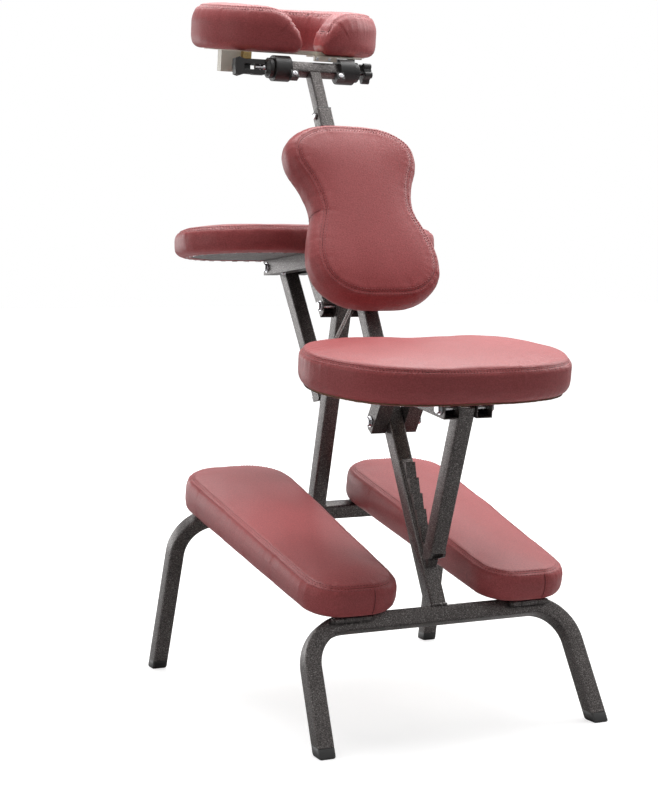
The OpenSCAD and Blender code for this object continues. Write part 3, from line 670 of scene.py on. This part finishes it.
for label, half_w, bar_s, place, body in (("rear", REAR_HALF_W, REAR_BAR, in_rear(0), "rear_frame"),
                                          ("front", FRONT_HALF_W, FRONT_BAR, in_front(0), "front_frame")):
    stations = u_stations(half_w, bar_s)
    v, f = square_tube(stations, TUBE, TUBE_R, WALL)
    ring = len(square_section(TUBE, TUBE_R))
    legs = [(side, np.array([side * math.sin(math.radians(SPLAY)), 0, -math.cos(math.radians(SPLAY))]))
            for side in (1, -1)]
    # Both skins of the hollow tube are cut off level at its two ends
    for shell in (0, 1):
        for station, (_, down) in zip((0, len(stations) - 1), legs):
            for k in range(ring):
                q = (shell * len(stations) + station) * ring + k
                v[q] = at_height(place, v[q], down, CAP_TOP)
    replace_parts(piece(label + "_u_tube", v, f, "frame_paint", body, place), label + "_u_frame")
    v, f = gather([foot_plug(place, half_w, side, down) for side, down in legs])
    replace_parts(piece(label + "_foot_plugs", v, f, "black_plastic", body, place),
                label + "_foot_caps")


def straight(name, node, body, place, z0, z1, size=TUBE, r=TUBE_R, axis="z"):
    """A straight tube between two places on one axis of its frame."""
    if axis == "z":
        stations = [((0, 0, z), (1, 0, 0), (0, 1, 0)) for z in np.linspace(z0, z1, 6)]
    else:
        stations = [((x, 0, 0), (0, 1, 0), (0, 0, 1)) for x in np.linspace(z0, z1, 6)]
    v, f = square_tube(stations, size, r, WALL)
    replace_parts(piece(name, v, f, "frame_paint", body, place), node)


FOLD_S = 667 / FRONT_COS       # fold hinge, along the front post
HALF, HEAD_HALF = TUBE / 2, HEAD_TUBE / 2
HEAD_POST = 541                # length of the sliding head post
MAST = in_rear(1122)           # middle of its crossbar
SEAT_STRUT = moved(0, -346.45, 468.2) @ tilted(21.3)
ARM_STRUT = moved(0, 269.57, 667.14) @ tilted(-34)
straight("rear_post_tube", "main_post", "rear_frame", in_rear(0), REAR_BAR + HALF, 1041)
straight("front_post_tube", "front_post", "front_frame", in_front(0), FRONT_BAR + HALF, FOLD_S + HALF)
straight("head_post_tube", "head_post", "head_mast", MAST, -HEAD_HALF - HEAD_POST, -HEAD_HALF,
         HEAD_TUBE, HEAD_TUBE_R)
straight("head_bar_tube", "head_crossbar", "head_mast", MAST, -74, 74, HEAD_TUBE, HEAD_TUBE_R, "x")
straight("seat_prop_tube", "seat_strut", "seat_prop", SEAT_STRUT, -226, 5)
straight("arm_prop_tube", "armrest_strut", "armrest_prop", ARM_STRUT, -252, 5)


def bead(points, r, seed):
    """A weld bead with an uneven surface."""
    pts = np.array(points, float)
    seg = np.concatenate([[0], np.cumsum(np.linalg.norm(np.diff(pts, axis=0), axis=1))])
    at = np.arange(0, seg[-1], 1.6)
    fine = np.column_stack([np.interp(at, seg, pts[:, i]) for i in range(3)])
    rng = np.random.RandomState(seed)
    fine += rng.normal(scale=0.22, size=fine.shape)
    grow = 1 + 0.16 * np.sin(at * 2.1) + rng.normal(scale=0.05, size=len(at))
    return sweep_tube(fine, 7, r, lambda i: grow[i])


def ring_at(h, z):
    return [(-h, -h, z), (h, -h, z), (h, h, z), (-h, h, z), (-h, -h, z)]


RATCHET_S = 262                # lowest ledge of the ratchet bar, along the post
HINGE_S = 770.9                # fold hinge, along the main post
beads = [bead(ring_at(12.3, 194.0), 1.9, 3)]
beads += [bead([(x * 8.2, -12.7, RATCHET_S - 10), (x * 8.2, -12.7, RATCHET_S + 158)], 1.5, 5 + x)
          for x in (-1, 1)]
beads += [bead([(x * 12.7, 0.6, HINGE_S - 24), (x * 12.7, 0.6, HINGE_S + 24)], 1.3, 11 + x)
          for x in (-1, 1)]
v, f = gather(beads)
piece("rear_welds", v, f, "frame_paint", "rear_frame", in_rear(0))
v, f = bead(ring_at(12.3, 282.8), 1.9, 8)
piece("front_welds", v, f, "frame_paint", "front_frame", in_front(0))


def revolved(profile, place, segs):
    """Verts and faces of a profile of (radius, height) pairs turned about the local Z axis."""
    verts = [place @ Vector((r * math.cos(2 * math.pi * k / segs), r * math.sin(2 * math.pi * k / segs), h))
             for r, h in profile for k in range(segs)]
    m = len(profile)
    faces = [(a * segs + k, a * segs + (k + 1) % segs, (a + 1) * segs + (k + 1) % segs, (a + 1) * segs + k)
             for a in range(m - 1) for k in range(segs)]
    faces.append(tuple(range(segs - 1, -1, -1)))
    return verts, faces


def pan_head(r, place):
    """Pan head with a cross recess, its seat at z = 0."""
    arm, half_w, top, floor = 0.62 * r, 0.13 * r, 0.46 * r, 0.2 * r
    rim = [(r, 0.0), (r, 0.14 * r), (0.92 * r, 0.3 * r), (0.76 * r, 0.42 * r)]
    segs = 28
    verts, faces = revolved(rim, place, segs)
    cross = []
    for i in range(4):
        c, d = math.cos(i * math.pi / 2), math.sin(i * math.pi / 2)
        for x, y in ((arm, -half_w), (arm, half_w), (half_w, half_w)):
            cross.append((c * x - d * y, d * x + c * y))
    base = len(verts)
    last = base - segs
    verts += [place @ Vector((x, y, top)) for x, y in cross]
    verts += [place @ Vector((0.8 * x, 0.8 * y, floor)) for x, y in cross]
    turn = 2 * math.pi
    order = sorted(range(12), key=lambda i: math.atan2(cross[i][1], cross[i][0]) % turn)
    angle = [math.atan2(cross[i][1], cross[i][0]) % turn for i in order]
    near = [min(range(12), key=lambda q: abs((angle[q] - turn * i / segs + math.pi) % turn - math.pi))
            for i in range(segs)]
    for i in range(segs):
        j = (i + 1) % segs
        a, b = order[near[i]], order[near[j]]
        corners = (last + i, last + j, base + b, base + a)
        faces.append(corners if a != b else (last + i, last + j, base + a))
    for i in range(12):
        a, b = order[i], order[(i + 1) % 12]
        faces.append((base + a, base + b, base + 12 + b, base + 12 + a))
    faces.append(tuple(base + 12 + i for i in order))
    return verts, faces


facing_near = Matrix.Rotation(math.radians(90), 4, "X")
heads = [pan_head(4.6, Matrix.Translation(Vector((x, -17, -19.5))) @ facing_near) for x in (-41.5, 41.5)]
v, f = gather(heads)
piece("collar_screws", v, f, "zinc", "head_mast", MAST)

# ---------------------------------------------------------------- cushions

# Half outlines, mirrored about x = 0
SEAT_HALF = [[0, -138], [88, -133], [158, -104], [199, -44], [209, 16], [182, 84], [118, 122], [48, 121],
             [0, 116]]
ARM_HALF = [[0, -104], [90, -112], [168, -98], [218, -52], [229, 0], [214, 54], [164, 98], [86, 115],
            [0, 118]]
CHEST_HALF = [[0, -147], [56, -142], [94, -115], [105, -76], [96, -32], [82, 10], [89, 54], [106, 96],
              [99, 133], [59, 157], [0, 162]]
KNEE_NEAR_Y, KNEE_LENGTH = -25, 510
RING_MID_Y = 118.0             # middle of the face ring, in its own frame


def knee_outline(side):
    """Two wide arcs at the far end and two narrower ones at the near end, a little turned in."""
    near_w, far_w, near_r, far_r, toe = 71, 88, 52, 62, 5
    near_y, far_y = KNEE_NEAR_Y + near_r, KNEE_NEAR_Y + KNEE_LENGTH - far_r
    near_mid = -side * toe
    corners = ((near_w - near_r + near_mid, near_y, near_r, -90), (far_w - far_r, far_y, far_r, 0),
               (far_r - far_w, far_y, far_r, 90), (near_r - near_w + near_mid, near_y, near_r, 180))
    return np.array([(cx + r * math.cos(math.radians(start + g)), cy + r * math.sin(math.radians(start + g)))
                     for cx, cy, r, start in corners for g in np.linspace(0, 90, 12)])


BOARD_INSET = 15.0
EDGE_DROP = 2.0                # how far a pad's sewn edge lies below its full thickness
OUTLINE_STEP = 5.0             # spacing of the points along a pad's outline
VOXEL = 0.005                  # in metres
PRESSURE, MOST_SWELL = 4.0, 6.0
# Stitches: length, spacing, distance from the seam, thread radius and height along the thread
STITCH, STITCH_PITCH, STITCH_OFF, THREAD_R = 3.4, 4.8, 3.3, 0.42
STITCH_ARCH = np.array([-0.25, 0.25, 0.34, 0.25, -0.25])


def smooth_poly(poly, width):
    out = poly.copy()
    for _ in range(width):
        out = 0.25 * np.roll(out, 1, 0) + 0.5 * out + 0.25 * np.roll(out, -1, 0)
    return out


def horseshoe():
    """The face ring: an oval with an oval hole, open towards the sitter's chin."""
    a, b, hole_a, hole_b, gap = 161.0, 131.0, 66.0, 70.0, 19.0
    g0 = math.asin(gap / a)
    outer = [(a * math.sin(t), RING_MID_Y - b * math.cos(t)) for t in np.linspace(g0, 2 * math.pi - g0, 150)]
    h0 = math.asin(gap / hole_a)
    hole = [(hole_a * math.sin(t), RING_MID_Y - 6 - hole_b * math.cos(t))
            for t in np.linspace(2 * math.pi - h0, h0, 90)]
    return smooth_poly(resample(anticlockwise(np.array(outer + hole)), 3.0), 22)


def inflate(o, pin):
    """Swells the pad with cloth under pressure and keeps the result, each point's move capped."""
    me = o.data
    before = get_co(me)
    g = o.vertex_groups.new(name="pin")
    for level in (1.0, 0.75, 0.5, 0.25):
        idx = np.nonzero((pin <= level) & (pin > level - 0.25))[0]
        g.add([int(i) for i in idx], level, "REPLACE")
    c = o.modifiers.new("cloth", "CLOTH")
    s = c.settings
    s.quality = 5
    s.mass = 0.35
    s.tension_stiffness = 22
    s.compression_stiffness = 22
    s.shear_stiffness = 8
    s.bending_stiffness = 1.2
    s.use_pressure = True
    s.uniform_pressure_force = PRESSURE
    s.vertex_group_mass = "pin"
    s.pin_stiffness = 2.0
    s.effector_weights.gravity = 0.0
    c.collision_settings.use_collision = False
    c.point_cache.frame_start = 1
    c.point_cache.frame_end = 20
    for fr in range(1, 21):
        SCENE.frame_set(fr)
    dg = bpy.context.evaluated_depsgraph_get()
    after = get_co(o.evaluated_get(dg).data)
    o.modifiers.clear()
    SCENE.frame_set(1)
    o.vertex_groups.clear()
    move = after - before
    size = np.linalg.norm(move, axis=1)
    move *= np.minimum(1.0, MOST_SWELL * MM / np.maximum(size, 1e-9))[:, None]
    set_co(me, before + move)


def pad_blank(name, start, top):
    """A straight-sided slab with the pad's outline, remeshed evenly."""
    n = len(start)
    verts = [(x, y, 0) for x, y in start] + [(x, y, top) for x, y in start]
    faces = [tuple(range(n - 1, -1, -1)), tuple(range(n, 2 * n))]
    faces += [(i, (i + 1) % n, n + (i + 1) % n, n + i) for i in range(n)]
    o = mesh_object(name, np.array(verts) * MM, faces, "vinyl")
    m = o.modifiers.new("remesh", "REMESH")
    m.mode = "VOXEL"
    m.voxel_size = VOXEL
    applied(o)
    return o


def shape_pad(o, start, top, r_top, r_low, crown, relief):
    """Rounds both edges of the slab, crowns its top and eases the result."""
    co = get_co(o.data) / MM
    d = np.clip(depth_inside(co[:, :2], start), 0, None)
    up_d = np.clip(d, 0, r_top)
    low_d = np.clip(d, 0, r_low)
    high = top - r_top + np.sqrt(np.maximum(r_top ** 2 - (r_top - up_d) ** 2, 0))
    high += crown * (1 - np.exp(-np.clip(d - r_top, 0, None) / 40.0))
    high += relief(co[:, 0], co[:, 1])
    low = r_low - np.sqrt(np.maximum(r_low ** 2 - (r_low - low_d) ** 2, 0))
    t = np.clip(co[:, 2] / top, 0, 1)
    co[:, 2] = low + t * (high - low)
    set_co(o.data, co * MM)
    for _ in range(2):
        ease = o.modifiers.new("ease", "SMOOTH")
        ease.factor = 0.5
        ease.iterations = 2
        applied(o)


def held_points(co, start, top, r_top, phi, relief):
    """How firmly the board and the sewn seam hold each point, from 0 to 1."""
    d = np.clip(depth_inside(co[:, :2], start), 0, None)
    g = math.radians(phi)
    seam_d = r_top * (1 - math.cos(g))
    seam_z = top - r_top + r_top * math.sin(g) + relief(co[:, 0], co[:, 1])
    off_seam = np.hypot(d - seam_d, co[:, 2] - seam_z)
    pin = np.where(co[:, 2] < 7.0, 1.0, 0.0)
    return np.maximum(pin, np.where(off_seam < 4.0, 0.75, 0.0))


def skin_tree(me):
    """The pad's skin in millimetres, for casting rays at it."""
    points = [Vector(p) for p in get_co(me) / MM]
    return BVHTree.FromPolygons(points, [tuple(p.vertices) for p in me.polygons])


def skin_row(tree, poly, nrm, top, r_top, relief, angle):
    """Where rays at this angle from inside the edge leave the pad, with the normals there."""
    a = math.radians(angle)
    hits = []
    for (x, y), (nx, ny) in zip(poly, nrm):
        lift = float(relief(np.array([x]), np.array([y]))[0])
        org = Vector((x - nx * (r_top + 2), y - ny * (r_top + 2), top - r_top - 1 + lift))
        h = tree.ray_cast(org, Vector((nx * math.cos(a), ny * math.cos(a), math.sin(a))))
        hits.append((np.array(h[0]), np.array(h[1])) if h[0] is not None else
                    (np.array([x, y, top + lift]), np.array([nx, ny, 0.5])))
    pts = np.array([h[0] for h in hits])
    nor = np.array([h[1] for h in hits])
    nor *= np.sign((nor * (pts - np.array([*poly.mean(0), 0]))).sum(1))[:, None]
    for _ in range(2):
        pts = 0.25 * np.roll(pts, 1, 0) + 0.5 * pts + 0.25 * np.roll(pts, -1, 0)
    return pts, nor


def joint_lines(tree, poly, nrm, seam, joints):
    """Upright seams in the side band, at these fractions of the way round."""
    lines = []
    for frac in joints:
        i = int(frac * len(poly)) % len(poly)
        x, y = poly[i] + nrm[i] * 4
        lines.append(np.array([np.array(tree.find_nearest(Vector((x, y, z)))[0])
                               for z in np.arange(2.0, seam[i][2], 1.5)]))
    return lines


def nearest(points, co):
    """For each of co, which of the points is nearest and how far off it is."""
    kd = KDTree(len(points))
    for i, p in enumerate(points):
        kd.insert(Vector(p), i)
    kd.balance()
    found = [kd.find(Vector(p)) for p in co]
    return np.array([q[1] for q in found]), np.array([q[2] for q in found])


def worked(me, seam, lines, nrm, seed, pucker):
    """Sinks the seams into the skin and adds gathers beside them and a slow unevenness."""
    co = get_co(me) / MM
    which, dist = nearest(seam, co)
    at = which * OUTLINE_STEP
    below = co[:, 2] < seam[which, 2]
    push = -1.5 * np.exp(-(dist / 2.4) ** 2) + 0.35 * np.exp(-((dist - 7.0) / 4.0) ** 2)
    for line in lines:
        push += -1.1 * np.exp(-(nearest(line, co)[1] / 2.2) ** 2)
    turn = np.abs(np.cross(np.roll(nrm, -2, 0), np.roll(nrm, 2, 0)))
    turn = smooth_poly(np.column_stack([turn, turn]), 6)[:, 0]
    corner = np.clip(turn[which] * 2.2, 0, 1)
    gather_wave = wavy(at[:, None], 0.36, seed + 40, 9) + 0.6 * wavy(at[:, None], 0.17, seed + 50, 5)
    fade = np.clip((dist - 1.5) / 4.0, 0, 1) * np.exp(-dist / np.where(below, 13.0, 9.0))
    push += pucker * (0.35 + 0.9 * corner) * fade * gather_wave * np.where(below, 1.0, 0.7)
    push += 0.55 * wavy(co, 0.028, seed + 7) + 0.22 * wavy(co, 0.075, seed + 8)
    keep = np.clip((co[:, 2] - 3.0) / 8.0, 0, 1)
    return co + vertex_normals(me) * (push * keep)[:, None]


def stitch_row(pts, nor):
    """Short arched threads laid along a closed row of skin points."""
    closed = np.vstack([pts, pts[:1]])
    closed_nor = np.vstack([nor, nor[:1]])
    s = np.concatenate([[0], np.cumsum(np.linalg.norm(np.diff(closed, axis=0), axis=1))])
    threads = []
    pos = 0.0
    while pos + STITCH < s[-1]:
        q = [pos + k * STITCH / 4 for k in range(5)]
        base = np.column_stack([np.interp(q, s, closed[:, i]) for i in range(3)])
        up = np.column_stack([np.interp(q, s, closed_nor[:, i]) for i in range(3)])
        up /= np.linalg.norm(up, axis=1)[:, None]
        threads.append(sweep_tube(base + up * STITCH_ARCH[:, None], 5, THREAD_R))
        pos += STITCH_PITCH
    return threads


def level(x, y):
    """No relief."""
    return 0.0 * x


def cushion(name, node, body, place, poly, thick, r_top, crown, phi, joints, seed, pucker, grow,
            r_low=12.0, rest=3.4, relief=level):
    """A boxed pad: crowned top panel, side band and a stitched seam on the upper edge, with thin dark tubes
    of painted shade in the seams.

    r_top and r_low round its edges, phi is the seam's angle on the upper one, grow widens the
    outline and rest is how far the underside over the board is lifted.
    """
    poly = anticlockwise(resample(poly, OUTLINE_STEP))
    nrm = outline_normals(poly)
    start = poly + nrm * grow
    top = thick - EDGE_DROP
    o = pad_blank(name, start, top)
    shape_pad(o, start, top, r_top, r_low, crown, relief)
    inflate(o, held_points(get_co(o.data) / MM, start, top, r_top, phi, relief))
    sub = o.modifiers.new("sub", "SUBSURF")
    sub.levels = sub.render_levels = 1
    applied(o)
    me = o.data

    tree = skin_tree(me)
    seam, _ = skin_row(tree, poly, nrm, top, r_top, relief, phi)
    lines = joint_lines(tree, poly, nrm, seam, joints)
    co = worked(me, seam, lines, nrm, seed, pucker)
    over_board = np.clip((depth_inside(co[:, :2], poly) - BOARD_INSET) / 4.0, 0, 1) * rest
    flat = co[:, 2] < 5.0
    co[flat, 2] += over_board[flat]
    set_co(me, co * MM)

    tree = skin_tree(me)
    seam, seam_nor = skin_row(tree, poly, nrm, top, r_top, relief, phi)
    aside = math.degrees(STITCH_OFF / r_top)
    threads = []
    for angle in (phi - aside, phi + aside):
        threads += stitch_row(*skin_row(tree, poly, nrm, top, r_top, relief, angle))
    v, f = gather(threads)
    stitches = mesh_object(name + "_stitches", np.array(v) * MM, f, "thread")
    # Thin dark tubes along the seam and the upright joints: painted shade standing in for the shadow in the
    # sewn grooves
    painted_shade_tubes = [sweep_tube(np.vstack([seam, seam[:2]]) - np.vstack([seam_nor, seam_nor[:2]]) * 0.15, 6, 0.5)]
    painted_shade_tubes += [sweep_tube(line, 6, 0.4) for line in lines if len(line) > 3]
    v, f = gather(painted_shade_tubes)
    gap = mesh_object(name + "_seam", np.array(v) * MM, f, "seam")
    me.polygons.foreach_set("use_smooth", [True] * len(me.polygons))
    for q in (o, stitches, gap):
        q.data.transform(place)
        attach(q, body)
    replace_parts(o, node)


def staples_round(poly, nrm, inset, seed):
    """A row of staples set a little askew, every sixth point of the outline."""
    rng = np.random.RandomState(seed)
    parts = []
    for i in range(2, len(poly), 6):
        p = poly[i] - nrm[i] * (inset + 6.0 + rng.uniform(-1.5, 1.5))
        a = math.atan2(nrm[i][0], -nrm[i][1]) + rng.uniform(-0.35, 0.35)
        t = np.array([math.cos(a), math.sin(a)])
        line = [(p[0] + t[0] * u, p[1] + t[1] * u, z) for u, z in
                ((-5.0, 0.2), (-4.9, -1.15), (-4.2, -1.5), (4.2, -1.5), (4.9, -1.15), (5.0, 0.2))]
        parts.append(sweep_tube(line, 5, 0.42))
    return gather(parts)


def turned_edge(name, body, place, poly, seed):
    """The cover's cut edge, folded under the board, with its staples."""
    inset, reach, step = 14.5, 13.0, 4.0
    poly = anticlockwise(resample(poly, step))
    nrm = outline_normals(poly)
    n = len(poly)
    s = np.arange(n) * step
    ragged = reach + 2.4 * wavy(s[:, None], 0.09, seed) + 1.1 * wavy(s[:, None], 0.5, seed + 1)
    rows = [(inset - 2.5, 0.6), (inset, -0.5), (inset + 0.45 * reach, -0.9), (inset + ragged, -0.75),
            (inset + ragged, 0.1)]
    verts, faces = [], []
    for depth, z in rows:
        heights = z + 0.18 * wavy(s[:, None], 0.3, seed + 2)
        for p, q, k, h in zip(poly, nrm, np.broadcast_to(depth, n), heights):
            verts.append((p[0] - q[0] * k, p[1] - q[1] * k, h))
    for j in range(len(rows) - 1):
        faces += [(j * n + i, (j + 1) * n + i, (j + 1) * n + (i + 1) % n, j * n + (i + 1) % n)
                  for i in range(n)]
    piece(name, verts, faces, "vinyl", body, place)
    v, f = staples_round(poly, nrm, inset, seed)
    piece(name + "_staples", v, f, "zinc", body, place)


seat_poly, arm_poly, chest_poly = outline(SEAT_HALF), outline(ARM_HALF), outline(CHEST_HALF)
cushion("seat_pad", "seat_cushion", "seat", IN_SEAT, seat_poly, 58, r_top=15, r_low=17, crown=9, phi=42,
        grow=-3.0, joints=(0.5,), seed=11, pucker=1.1)
cushion("armrest_pad", "armrest_cushion", "armrest", IN_ARM, arm_poly, 46, r_top=14, crown=5,
        phi=50, grow=-1.0, joints=(0.02, 0.52), seed=12, pucker=0.9)
cushion("chest_pad", "chest_cushion", "chest_rest", IN_CHEST, chest_poly, 50, r_top=20, crown=6,
        phi=58, grow=5.5, joints=(0.76,), seed=13, pucker=0.7)


def knee_relief(x, y):
    """The knee pads grow thicker towards the far end."""
    return 13.0 * np.clip((y - KNEE_NEAR_Y) / KNEE_LENGTH, 0, 1)


def ring_relief(x, y):
    """The two ends of the face ring fall away towards the chin gap."""
    near = np.clip((RING_MID_Y - y) / 40.0, 0, 1)
    return -34.0 * near * np.exp(-(np.clip(np.abs(x) - 12.0, 0, None) / 30.0) ** 2)


for side, label in ((-1, "left"), (1, "right")):
    kp = knee_outline(side)
    cushion(label + "_knee_pad_cover", label + "_knee_cushion", label + "_knee_pad", in_knee(side), kp, 50,
            r_top=15, r_low=16, crown=7, phi=48, grow=4.0, relief=knee_relief,
            joints=(0.004, 0.5), seed=14 + side, pucker=0.8)
    turned_edge(label + "_knee_turned_edge", label + "_knee_pad", in_knee(side), kp, 33 + side)
cushion("face_ring", "face_cushion", "face_cradle", IN_HEAD @ moved(-3, 0, 25), horseshoe(), 76,
        r_top=26, r_low=16, rest=6.2, crown=3, phi=50, grow=2.0, joints=(0.30, 0.70), seed=17, pucker=1.6,
        relief=ring_relief)
turned_edge("seat_turned_edge", "seat", IN_SEAT, seat_poly, 31)
turned_edge("armrest_turned_edge", "armrest", IN_ARM, arm_poly, 32)
turned_edge("chest_turned_edge", "chest_rest", IN_CHEST, chest_poly, 34)

# ---------------------------------------------------------------- stay cable

route = np.array([[0, -6.1, 635.7], [-0.5, 2, 618], [-3, 16, 598], [-7, 30, 576], [-12.5, 43, 554],
                  [-17, 52.5, 535], [-17.5, 61, 512], [-17.5, 66, 498]])
last = len(route) - 1
dense = [catmull(route[max(i - 1, 0)], route[i], route[i + 1], route[min(i + 2, last)], j / 12)
         for i in range(last) for j in range(12)]
dense = np.array(dense + [route[-1]])
v, f = gather([sweep_tube(dense + np.array([k * 1.9, 0, 0]), 12, 1.45) for k in (-1, 1)])
stay = mesh_object("stay_braid", np.array(v) * MM, f, "cable")
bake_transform(stay)
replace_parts(stay, "stay_cable")

# ---------------------------------------------------------------- floor

corners = [(x, y, -0.0004) for x, y in ((-30, -30), (30, -30), (30, 30), (-30, 30))]
fl = mesh_object("studio_floor_plane", corners, [(0, 1, 2, 3)], "frame_paint", smooth=False)
fl.data.materials.clear()
fl.data.materials.append(FLOOR_MAT)
